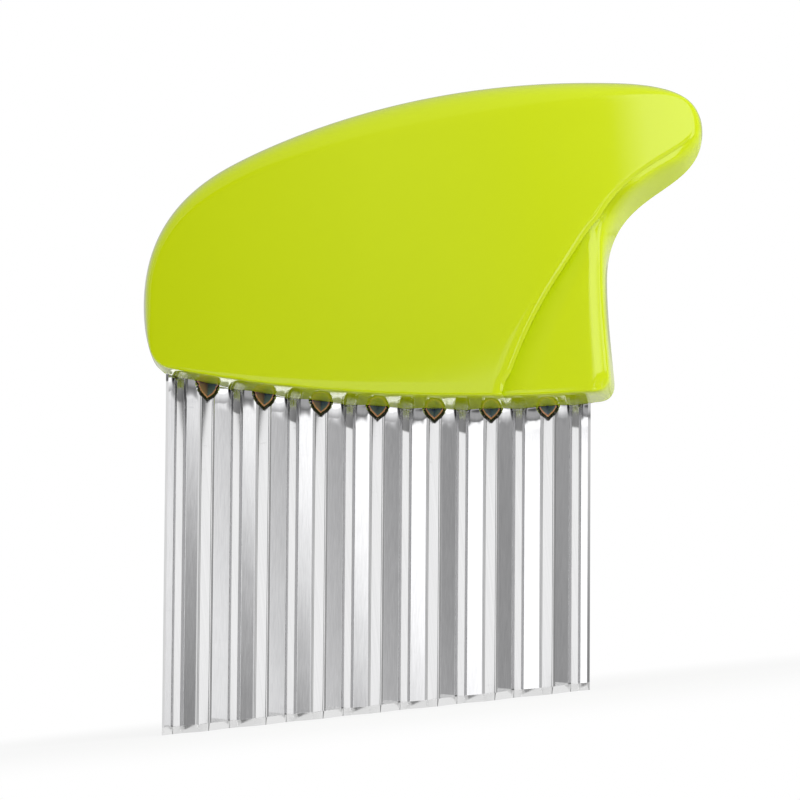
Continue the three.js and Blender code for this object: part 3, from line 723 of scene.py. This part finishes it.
def wave_blade(name, material):
    """The corrugated sheet: a grid laid on the waves, thickened, with its front ground to an edge."""
    columns, rows = wave_columns(), blade_rows()
    last = len(rows) - 1
    bm = bmesh.new()
    column_of = bm.verts.layers.int.new("column")
    row_of = bm.verts.layers.int.new("row")
    pressed = bm.verts.layers.float.new("pressed")
    across = bm.verts.layers.float.new("across")
    nearness = bm.verts.layers.float.new("nearness")
    bmesh.ops.create_grid(bm, x_segments=len(columns) - 1, y_segments=last, size=0.5)
    for vert in bm.verts:
        vert[column_of] = round((vert.co.x + 0.5) * (len(columns) - 1))
        vert[row_of] = round((0.5 - vert.co.y) * last)
    front = list(bm.verts)
    made = bmesh.ops.extrude_face_region(bm, geom=list(bm.faces))["geom"]
    rear = [item for item in made if isinstance(item, bmesh.types.BMVert)]

    def lay(vert, offset):
        u, row = columns[vert[column_of]], vert[row_of]
        w = rows[row](u)
        vert[pressed] = wave_height(u) + flare(u, w) - facet_limit(u, w)
        vert[across] = u - WAVE_PITCH * round(u / WAVE_PITCH)
        vert[nearness] = max(1 - (underside(u) - w) / FLARE_RUN, 0)
        if row < TANG_ROWS:
            vert.co = placed(u * tang_half / blade_half, WAVE_DEPTH / 2 - offset, w)
            return
        slope_u = (sheet_height(u + SLOPE_REACH, w) - sheet_height(u - SLOPE_REACH, w)) / (2 * SLOPE_REACH)
        slope_w = (sheet_height(u, w + SLOPE_REACH) - sheet_height(u, w - SLOPE_REACH)) / (2 * SLOPE_REACH)
        normal = Vector((-slope_u, 1, -slope_w)).normalized()
        u_out = u + normal.x * offset
        w_out = rows[row](u_out) if row >= last - 1 else w + normal.z * offset
        lean = math.tan(BLADE_LEAN) * min(w_out, 0)
        vert.co = placed(u_out + lean + WAVE_SHIFT, -(sheet_height(u, w) + normal.y * offset), w_out)

    for vert in front:
        lay(vert, EDGE_LAND - SHEET / 2 if vert[row_of] == last else SHEET / 2)
    for vert in rear:
        lay(vert, -SHEET / 2)
    finished_piece(bm, name, material, "wave_blade", BLADE_SHARP)


def finished_piece(bm, name, material, node, sharp_angle):
    """Turns a bmesh into a piece that rides on the cutter in place of a CAD node."""
    bmesh.ops.recalc_face_normals(bm, faces=list(bm.faces))
    for edge in bm.edges:
        edge.smooth = edge.calc_face_angle(0) < sharp_angle
    for face in bm.faces:
        face.smooth = True
    mesh = bpy.data.meshes.new(name)
    bm.to_mesh(mesh)
    bm.free()
    mesh.materials.append(material)
    piece = bpy.data.objects.new(name, mesh)
    bpy.context.scene.collection.objects.link(piece)
    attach(piece, "root")
    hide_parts(node)


# Node helpers

def add_node(tree, kind, inputs=None, **settings):
    """A node with its settings, and its inputs set to values or linked from sockets."""
    node = tree.nodes.new(kind)
    for key, value in settings.items():
        setattr(node, key, value)
    for key, value in (inputs or {}).items():
        if isinstance(value, bpy.types.NodeSocket):
            tree.links.new(value, node.inputs[key])
        else:
            node.inputs[key].default_value = value
    return node


def new_material(name):
    """An empty node material and its tree, with the Principled shader wired to the output."""
    material = bpy.data.materials.new(name)
    material.use_nodes = True
    tree = material.node_tree
    tree.nodes.clear()
    shader = add_node(tree, "ShaderNodeBsdfPrincipled")
    add_node(tree, "ShaderNodeOutputMaterial", {"Surface": shader.outputs[0]})
    return material, tree, shader


def noise(tree, vector, scale, detail=2.0, roughness=0.5):
    node = add_node(tree, "ShaderNodeTexNoise", {
        "Vector": vector, "Scale": scale, "Detail": detail, "Roughness": roughness,
    })
    return node.outputs["Fac"]


def value_range(tree, value, from_low, from_high, to_low, to_high, kind="LINEAR"):
    node = add_node(tree, "ShaderNodeMapRange", {
        "Value": value, "From Min": from_low, "From Max": from_high, "To Min": to_low, "To Max": to_high,
    }, interpolation_type=kind)
    return node.outputs["Result"]


def math_node(tree, operation, first, second=0.0):
    node = add_node(tree, "ShaderNodeMath", {0: first, 1: second}, operation=operation)
    return node.outputs[0]


def scaled_sum(tree, value, factor, base):
    """value times factor, on top of base."""
    node = add_node(tree, "ShaderNodeMath", {0: value, 1: factor, 2: base}, operation="MULTIPLY_ADD")
    return node.outputs[0]


def colour_mix(tree, factor, first, second):
    node = add_node(tree, "ShaderNodeMix", {"Factor": factor}, data_type="RGBA")
    for index, colour in ((6, first), (7, second)):
        if isinstance(colour, bpy.types.NodeSocket):
            tree.links.new(colour, node.inputs[index])
        else:
            node.inputs[index].default_value = (*colour, 1)
    return node.outputs[2]


# Handling marks on both finishes
SMEAR_DETAIL = (4.0, 0.6)
SMEAR_RANGE = (0.45, 0.72)
SCRATCH_TURN = (0, math.radians(38), 0)
SCRATCH_SCALE = (260, 260, 2600)
SCRATCH_RANGE = (0.66, 0.74)

# Lime plastic
LIME_DEEP = (0.53, 0.645, 0.0035)
LIME_PALE = (0.55, 0.665, 0.0045)
LIME_TONE_SCALE = 24.0
LIME_SMEAR_SCALE = 70
LIME_GLOSS = (0.03, 0.06)
LIME_SCRATCH_GLOSS = 0.05
LIME_IOR = 1.49
RIPPLE_SCALE = 75.0
GRAIN_SCALE = 2600.0
GRAIN_SHARE = 0.004
RIPPLE_BUMP = {"Strength": 0.12, "Distance": 0.00006}

# Rolled steel and its ground band, with a painted reflection on the pressed facets
STEEL_DARK = (0.62, 0.62, 0.625)
STEEL_PALE = (0.68, 0.68, 0.685)
STEEL_SMEAR_SCALE = 55
STEEL_GLOSS = (0.03, 0.06)
STEEL_SMEAR_GLOSS = 0.02
STEEL_SCRATCH_GLOSS = 0.03
STREAK_SCALE = (3200, 3200, 22)
STREAK_DETAIL = (3.0, 0.6)
STREAK_RANGE = (0.3, 0.75)
STREAK_SHARE = 0.03
WAVER_SCALE = 130.0
WAVER_BUMP = {"Strength": 0.15, "Distance": 0.00003}
GROUND_STEEL = (0.85, 0.85, 0.85)
GROUND_FADE = 0.12
GROUND_GLOSS = 0.14
VALLEY_REACH = (4.0, 4.5)
VALLEY_GLOSS = 0.25
# Colours of the painted reflection on the facets: a blue and rose heart, a rim of painted shade and a
# copper line
FACET_REFLECTION_BLUE = (0.19, 0.27, 0.55)
FACET_REFLECTION_ROSE = (0.6, 0.3, 0.26)
FACET_SHADE_RIM = (0.01, 0.01, 0.012)
FACET_REFLECTION_COPPER = (1.0, 0.48, 0.42)
FACET_START = (-0.48, -0.38)
COPPER_REFLECTION_LINE = 0.28
COPPER_REFLECTION_HALF = (0.14, 0.22)
REFLECTION_HEART_START = (0.4, 0.5)
ROSE_REFLECTION_SIDE = (-0.5, 0.1)
ROSE_REFLECTION_PLACE = (-0.022, -0.016)
ROSE_REFLECTION_SHARE = (0.75, 0.1)

# Spread of a noise's values that is stretched to a full mask
MID_NOISE = (0.3, 0.7)


def handling_group():
    """Faint marks of handling, for both finishes: a mask of soft smears and a mask of fine scratches."""
    group = bpy.data.node_groups.new("handling_marks", "ShaderNodeTree")
    group.interface.new_socket("Vector", in_out="INPUT", socket_type="NodeSocketVector")
    group.interface.new_socket("Smear Scale", in_out="INPUT", socket_type="NodeSocketFloat")
    group.interface.new_socket("Smears", in_out="OUTPUT", socket_type="NodeSocketFloat")
    group.interface.new_socket("Scratches", in_out="OUTPUT", socket_type="NodeSocketFloat")
    inside = add_node(group, "NodeGroupInput")
    smear = noise(group, inside.outputs["Vector"], inside.outputs["Smear Scale"], *SMEAR_DETAIL)
    smear = value_range(group, smear, *SMEAR_RANGE, 0, 1, "SMOOTHSTEP")
    stretched = add_node(group, "ShaderNodeMapping", {
        "Vector": inside.outputs["Vector"], "Rotation": SCRATCH_TURN, "Scale": SCRATCH_SCALE,
    })
    scratch = value_range(group, noise(group, stretched.outputs[0], 1.0), *SCRATCH_RANGE, 0, 1)
    add_node(group, "NodeGroupOutput", {"Smears": smear, "Scratches": scratch})
    return group


def own_value(tree, name):
    """A value that the blade's mesh carries on its vertices."""
    return add_node(tree, "ShaderNodeAttribute", attribute_name=name).outputs["Fac"]


def handling_marks(tree, group, vector, scale):
    node = add_node(tree, "ShaderNodeGroup", node_tree=group)
    tree.links.new(vector, node.inputs["Vector"])
    node.inputs["Smear Scale"].default_value = scale
    return node.outputs["Smears"], node.outputs["Scratches"]


def lime_plastic(marks):
    """Glossy moulded lime plastic: a slow shift of tone, a faint ripple and light handling marks."""
    material, tree, shader = new_material("lime_plastic")
    place = add_node(tree, "ShaderNodeTexCoord").outputs["Object"]
    smears, scratches = handling_marks(tree, marks, place, LIME_SMEAR_SCALE)
    tone = value_range(tree, noise(tree, place, LIME_TONE_SCALE), *MID_NOISE, 0, 1)
    colour = colour_mix(tree, tone, LIME_DEEP, LIME_PALE)
    tree.links.new(colour, shader.inputs["Base Color"])
    gloss = value_range(tree, smears, 0, 1, *LIME_GLOSS)
    tree.links.new(scaled_sum(tree, scratches, LIME_SCRATCH_GLOSS, gloss), shader.inputs["Roughness"])
    ripple = noise(tree, place, RIPPLE_SCALE, 1.0)
    grain = noise(tree, place, GRAIN_SCALE, 1.0)
    height = scaled_sum(tree, grain, GRAIN_SHARE, ripple)
    bump = add_node(tree, "ShaderNodeBump", {**RIPPLE_BUMP, "Height": height})
    tree.links.new(bump.outputs[0], shader.inputs["Normal"])
    shader.inputs["IOR"].default_value = LIME_IOR
    return material


def rolled_steel(marks):
    """Polished stainless sheet with streaks along the waves, a ground band above the edge, and a painted
    reflection of the dark slot on the pressed facets.
    """
    material, tree, shader = new_material("rolled_steel")
    place = add_node(tree, "ShaderNodeTexCoord").outputs["Object"]
    smears, scratches = handling_marks(tree, marks, place, STEEL_SMEAR_SCALE)
    upright = add_node(tree, "ShaderNodeMapping", {
        "Vector": place, "Rotation": (0, -EDGE_SLANT, 0), "Scale": STREAK_SCALE,
    }).outputs[0]
    streaks = noise(tree, upright, 1.0, *STREAK_DETAIL)
    spot = add_node(tree, "ShaderNodeSeparateXYZ", {0: place}).outputs
    ground = value_range(tree, spot["Z"], GRIND_HEIGHT * MM, (GRIND_HEIGHT + GROUND_FADE) * MM, 1, 0)
    colour = colour_mix(tree, value_range(tree, streaks, *MID_NOISE, 0, 1), STEEL_DARK, STEEL_PALE)
    colour = colour_mix(tree, ground, colour, GROUND_STEEL)

    # Each facet is painted with the reflection of the dark slot and handle above it: a dark rim of painted
    # shade, a painted copper line inside it and a painted blue heart that is rose on its left side
    pressed = own_value(tree, "pressed")
    across = own_value(tree, "across")
    painted_facet = value_range(tree, pressed, *FACET_START, 0, 1)
    from_line = math_node(tree, "ABSOLUTE", math_node(tree, "SUBTRACT", pressed, COPPER_REFLECTION_LINE))
    copper_reflection = value_range(tree, from_line, *COPPER_REFLECTION_HALF, 1, 0)
    rose_reflection = value_range(tree, spot["X"], *ROSE_REFLECTION_PLACE, *ROSE_REFLECTION_SHARE)
    rose_reflection = math_node(tree, "MULTIPLY", value_range(tree, across, *ROSE_REFLECTION_SIDE, 1, 0), rose_reflection)
    reflection_heart = colour_mix(tree, rose_reflection, FACET_REFLECTION_BLUE, FACET_REFLECTION_ROSE)
    painted_reflection = colour_mix(tree, value_range(tree, pressed, *REFLECTION_HEART_START, 0, 1), FACET_SHADE_RIM, reflection_heart)
    painted_reflection = colour_mix(tree, copper_reflection, painted_reflection, FACET_REFLECTION_COPPER)
    tree.links.new(colour_mix(tree, painted_facet, colour, painted_reflection), shader.inputs["Base Color"])

    gloss = value_range(tree, streaks, *STREAK_RANGE, *STEEL_GLOSS)
    gloss = scaled_sum(tree, smears, STEEL_SMEAR_GLOSS, gloss)
    gloss = scaled_sum(tree, scratches, STEEL_SCRATCH_GLOSS, gloss)
    gloss = scaled_sum(tree, ground, GROUND_GLOSS, gloss)
    valley = value_range(tree, math_node(tree, "ABSOLUTE", across), *VALLEY_REACH, 0, VALLEY_GLOSS)
    gloss = scaled_sum(tree, own_value(tree, "nearness"), valley, gloss)
    tree.links.new(gloss, shader.inputs["Roughness"])
    relief = scaled_sum(tree, streaks, STREAK_SHARE, noise(tree, place, WAVER_SCALE, 1.0))
    bump = add_node(tree, "ShaderNodeBump", {**WAVER_BUMP, "Height": relief})
    tree.links.new(bump.outputs[0], shader.inputs["Normal"])
    # The facets' painted reflection is dull colour, not metal
    tree.links.new(math_node(tree, "SUBTRACT", 1.0, painted_facet), shader.inputs["Metallic"])
    return material


marks = handling_group()
plastic = lime_plastic(marks)
steel = rolled_steel(marks)
handle_half("handle_front", -1, plastic)
handle_half("handle_rear", 1, plastic)
wave_blade("corrugated_blade", steel)


# Studio

FLOOR_RADIUS = 0.22
FLOOR_STEPS = 96
FLOOR_GREY = (0.68, 0.68, 0.68, 1)
FLOOR_FADE = (0.06, 0.9 * FLOOR_RADIUS)
FLOOR_WHITENESS = (0.82, 1.0)
WHITE = (1, 1, 1, 1)
AMBIENT = 0.45
CAMERA_DISTANCE = 0.6
CAMERA_AIM = Vector((-0.005147, 0, 0.054248))
CAMERA_RISE = math.radians(4)
CAMERA_ROLL = math.radians(-6.101)
FOCAL_PIXELS = 3398.5
PHOTO_PIXELS = 800
SENSOR_WIDTH = 36
STUDIO_CENTRE = Vector((0, 0, 0.055))


def studio_floor():
    """A pale round floor that keeps the shadow near the cutter and fades to white further out."""
    bm = bmesh.new()
    bmesh.ops.create_circle(bm, cap_ends=True, segments=FLOOR_STEPS, radius=FLOOR_RADIUS)
    mesh = bpy.data.meshes.new("floor")
    bm.to_mesh(mesh)
    bm.free()
    floor = bpy.data.objects.new("floor", mesh)
    bpy.context.scene.collection.objects.link(floor)
    material = bpy.data.materials.new("pale_floor")
    material.use_nodes = True
    tree = material.node_tree
    tree.nodes.clear()
    place = add_node(tree, "ShaderNodeTexCoord").outputs["Object"]
    reach = add_node(tree, "ShaderNodeVectorMath", {0: place}, operation="LENGTH").outputs["Value"]
    path = add_node(tree, "ShaderNodeLightPath").outputs
    looked_at = math_node(tree, "MAXIMUM", path["Is Camera Ray"], path["Is Glossy Ray"])
    looked_at = math_node(tree, "MAXIMUM", looked_at, path["Is Transmission Ray"])
    whiteness = value_range(tree, reach, *FLOOR_FADE, *FLOOR_WHITENESS, "SMOOTHSTEP")
    matt = add_node(tree, "ShaderNodeBsdfDiffuse", {"Color": FLOOR_GREY})
    white = add_node(tree, "ShaderNodeEmission", {"Color": WHITE, "Strength": 1.0})
    surface = add_node(tree, "ShaderNodeMixShader", {
        0: math_node(tree, "MULTIPLY", looked_at, whiteness), 1: matt.outputs[0], 2: white.outputs[0],
    })
    add_node(tree, "ShaderNodeOutputMaterial", {"Surface": surface.outputs[0]})
    mesh.materials.append(material)
    floor.visible_glossy = False


# Brightness that reflections meet, by azimuth from the camera's side, positive to the right
DEEP_TONES = [
    (-180, 1.15), (-62, 1.15), (-50, 0.9), (-22, 0.9), (-15, 1.3), (15, 1.3), (22, 0.25), (50, 0.25),
    (62, 1.15), (180, 1.15),
]
LOW_TONES = [
    (-180, 1.2), (-70, 1.1), (-47, 0.02), (-43, 4.6), (-25, 4.6), (-21, 0.01), (11, 0.01), (15, 0.9),
    (26, 1.0), (180, 1.0),
]
HORIZON_TONES = [
    (-180, 0.9), (-125, 0.8), (-96, 0.25), (-56, 0.2), (-47, 0.4), (-43, 1.1), (-29, 1.3), (-26, 0.4),
    (-16, 0.4), (-12, 1.6), (9, 1.6), (13, 0.4), (31, 0.3), (64, 0.3), (68, 1.15), (77, 1.15), (81, 0.3),
    (100, 0.3), (125, 0.8), (180, 0.9),
]
PANEL_TONES = [
    (-180, 0.9), (0, 0.3), (31, 0.3), (32, 3.2), (38.9, 3.2), (40.1, 2.55), (41, 1.9), (41.9, 1.27),
    (42.8, 0.95), (44.5, 0.72), (50, 0.35), (64, 0.3), (68, 1.15), (77, 1.15), (81, 0.3), (100, 0.3),
    (125, 0.8), (180, 0.9),
]
WALL_TONES = [
    (-180, 0.6), (-140, 0.8), (-110, 1.3), (-80, 1.3), (-60, 0.5), (-43, 0.9), (-40.2, 0.92), (-39.1, 0.72),
    (-38.3, 0.8), (-37.1, 1.06), (-36.1, 1.36), (-35.3, 1.61), (-34.6, 1.94), (-33.5, 2.47), (-32.9, 2.5),
    (-28, 0.4), (-24, 0.06), (-18, 0.02), (-6, 0.25), (2, 0.45), (10, 0.3), (22, 0.4), (31, 3.2), (48, 3.6),
    (56, 0.6), (70, 0.3), (110, 0.35), (180, 0.6),
]
CEILING_TONE = 0.65
BRIGHTEST = 5.0

# How far the panels of the left wall and of the right lean over, in azimuth per degree of elevation
LEFT_LEAN = 0.41
PANEL_LEAN = 0.9

# Azimuths between which the studio's front passes into its sides
LEFT_SIDE = (-26, -22)
LEFT_LOW_SIDE = (-24, -20)
PANEL_SIDE = (20, 22)
RIGHT_LOW_SIDE = (20, 24)
LOW_SIDES = (18, 24)

# Elevations at which one band of the studio passes into the next
PANEL_TOP = (0.2, 0.4)
WALL_FOOT = (1.6, 4.2)
WALL_SOFTNESS = 0.2
LOW_EDGE = (-2.0, -7.5)
LEFT_LOW_LIFT = 4.5
LOW_SOFTNESS = (3.0, 0.5)
LOW_DIMMING = (-12, -8)
DEEP_EDGE = (-22, -28)
RIGHT_DEEP_LIFT = 10
CEILING_START = (34, 48)


def tone_ramp(tree, azimuth, tones):
    """Brightness by azimuth in degrees, through a colour ramp."""
    share = value_range(tree, azimuth, -180, 180, 0, 1)
    ramp = add_node(tree, "ShaderNodeValToRGB", {"Fac": share})
    stops = ramp.color_ramp.elements
    while len(stops) < len(tones):
        stops.new(0.5)
    for stop, (degrees, tone) in zip(stops, tones):
        stop.position = (degrees + 180) / 360
        stop.color = (tone / BRIGHTEST,) * 3 + (1,)
    return math_node(tree, "MULTIPLY", ramp.outputs["Color"], BRIGHTEST)


def blended(tree, factor, first, second):
    node = add_node(tree, "ShaderNodeMix", {0: factor, 2: first, 3: second}, data_type="FLOAT")
    return node.outputs[0]


def reflected_studio(tree):
    """Brightness of the studio for reflections: a bright horizon, dark and bright walls, a pale ceiling."""
    direction = add_node(tree, "ShaderNodeTexCoord").outputs["Generated"]
    axes = add_node(tree, "ShaderNodeSeparateXYZ", {0: direction}).outputs
    to_camera = math_node(tree, "MULTIPLY", axes["Y"], -1.0)
    to_degrees = math.degrees(1)
    azimuth = math_node(tree, "MULTIPLY", math_node(tree, "ARCTAN2", axes["X"], to_camera), to_degrees)
    elevation = math_node(tree, "MULTIPLY", math_node(tree, "ARCSINE", axes["Z"]), to_degrees)
    descent = math_node(tree, "MULTIPLY", elevation, -1.0)

    # Horizon, with the bright panel low on the right, and the walls above it
    lean = value_range(tree, azimuth, *LEFT_SIDE, LEFT_LEAN, 0)
    walls = tone_ramp(tree, scaled_sum(tree, descent, lean, azimuth), WALL_TONES)
    panel = tone_ramp(tree, scaled_sum(tree, descent, PANEL_LEAN, azimuth), PANEL_TONES)
    on_panel = value_range(tree, azimuth, *PANEL_SIDE, 0, 1)
    on_panel = math_node(tree, "MULTIPLY", value_range(tree, elevation, *PANEL_TOP, 1, 0), on_panel)
    tone = blended(tree, on_panel, tone_ramp(tree, azimuth, HORIZON_TONES), panel)
    wall_foot = value_range(tree, azimuth, *LEFT_SIDE, *WALL_FOOT)
    above_foot = math_node(tree, "SUBTRACT", elevation, wall_foot)
    on_wall = value_range(tree, above_foot, -WALL_SOFTNESS, WALL_SOFTNESS, 0, 1)
    tone = blended(tree, on_wall, tone, walls)

    # Low band below the horizon, and the deep one under it
    low = tone_ramp(tree, azimuth, LOW_TONES)
    low = math_node(tree, "MULTIPLY", low, value_range(tree, elevation, *LOW_DIMMING, 1, 0.5))
    deep_edge = value_range(tree, azimuth, *LEFT_LOW_SIDE, *DEEP_EDGE)
    deep_lift = value_range(tree, azimuth, *RIGHT_LOW_SIDE, 0, RIGHT_DEEP_LIFT)
    above_deep = math_node(tree, "SUBTRACT", elevation, math_node(tree, "ADD", deep_edge, deep_lift))
    on_low = value_range(tree, above_deep, -1, 1, 0, 1)
    low = blended(tree, on_low, tone_ramp(tree, azimuth, DEEP_TONES), low)
    low_edge = value_range(tree, math_node(tree, "ABSOLUTE", azimuth), *LOW_SIDES, *LOW_EDGE)
    low_lift = value_range(tree, azimuth, *LEFT_LOW_SIDE, LEFT_LOW_LIFT, 0)
    above_low = math_node(tree, "SUBTRACT", elevation, math_node(tree, "ADD", low_edge, low_lift))
    softness = value_range(tree, azimuth, *LEFT_LOW_SIDE, *LOW_SOFTNESS)
    above_low = math_node(tree, "DIVIDE", above_low, softness)
    tone = blended(tree, value_range(tree, above_low, -1, 1, 0, 1), low, tone)
    return blended(tree, value_range(tree, elevation, *CEILING_START, 0, 1), tone, CEILING_TONE)


def studio_world():
    """White for the camera, a painted studio for reflections, an even soft light for the rest."""
    world = bpy.data.worlds.new("studio")
    bpy.context.scene.world = world
    world.use_nodes = True
    tree = world.node_tree
    tree.nodes.clear()
    path = add_node(tree, "ShaderNodeLightPath").outputs
    looked_at = math_node(tree, "MAXIMUM", path["Is Camera Ray"], path["Is Transmission Ray"])
    level = blended(tree, looked_at, AMBIENT, 1.0)
    plain = add_node(tree, "ShaderNodeBackground", {"Color": WHITE, "Strength": level})
    studio = add_node(tree, "ShaderNodeBackground", {"Strength": reflected_studio(tree)})
    mix = add_node(tree, "ShaderNodeMixShader", {
        0: path["Is Glossy Ray"], 1: plain.outputs[0], 2: studio.outputs[0],
    })
    add_node(tree, "ShaderNodeOutputWorld", {"Surface": mix.outputs[0]})


def softbox(name, azimuth, elevation, distance, width, height, radiance):
    """A rectangular lamp that faces the cutter; radiance 1 is as bright as white paper."""
    a, e = math.radians(azimuth), math.radians(elevation)
    away = Vector((math.sin(a) * math.cos(e), -math.cos(a) * math.cos(e), math.sin(e)))
    lamp = bpy.data.lights.new(name, "AREA")
    lamp.shape = "RECTANGLE"
    lamp.size, lamp.size_y = width, height
    lamp.energy = radiance * math.pi * width * height
    box = bpy.data.objects.new(name, lamp)
    box.visible_glossy = False
    box.location = STUDIO_CENTRE + away * distance
    box.rotation_mode = "QUATERNION"
    box.rotation_quaternion = (-away).to_track_quat("-Z", "Y")
    bpy.context.scene.collection.objects.link(box)


def studio_camera():
    """The photo's view: low, looking slightly up, with the cutter's waves upright in the picture."""
    lens = bpy.data.cameras.new("camera")
    lens.sensor_width = SENSOR_WIDTH
    lens.lens = FOCAL_PIXELS / PHOTO_PIXELS * SENSOR_WIDTH
    camera = bpy.data.objects.new("camera", lens)
    forward = Vector((0, math.cos(CAMERA_RISE), math.sin(CAMERA_RISE)))
    camera.location = CAMERA_AIM - forward * CAMERA_DISTANCE
    camera.rotation_mode = "QUATERNION"
    camera.rotation_quaternion = forward.to_track_quat("-Z", "Y") @ Quaternion((0, 0, 1), CAMERA_ROLL)
    bpy.context.scene.collection.objects.link(camera)
    bpy.context.scene.camera = camera


studio_floor()
studio_world()
softbox("key", azimuth=38, elevation=26, distance=0.48, width=0.4, height=0.35, radiance=3.45)
softbox("side", azimuth=102, elevation=8, distance=0.6, width=0.4, height=0.4, radiance=3.2)
softbox("fill", azimuth=-105, elevation=12, distance=1.0, width=0.5, height=0.7, radiance=3.2)
softbox("top", azimuth=-10, elevation=70, distance=1.0, width=0.8, height=0.6, radiance=1.5)
studio_camera()
bpy.context.scene.view_settings.view_transform = "Standard"
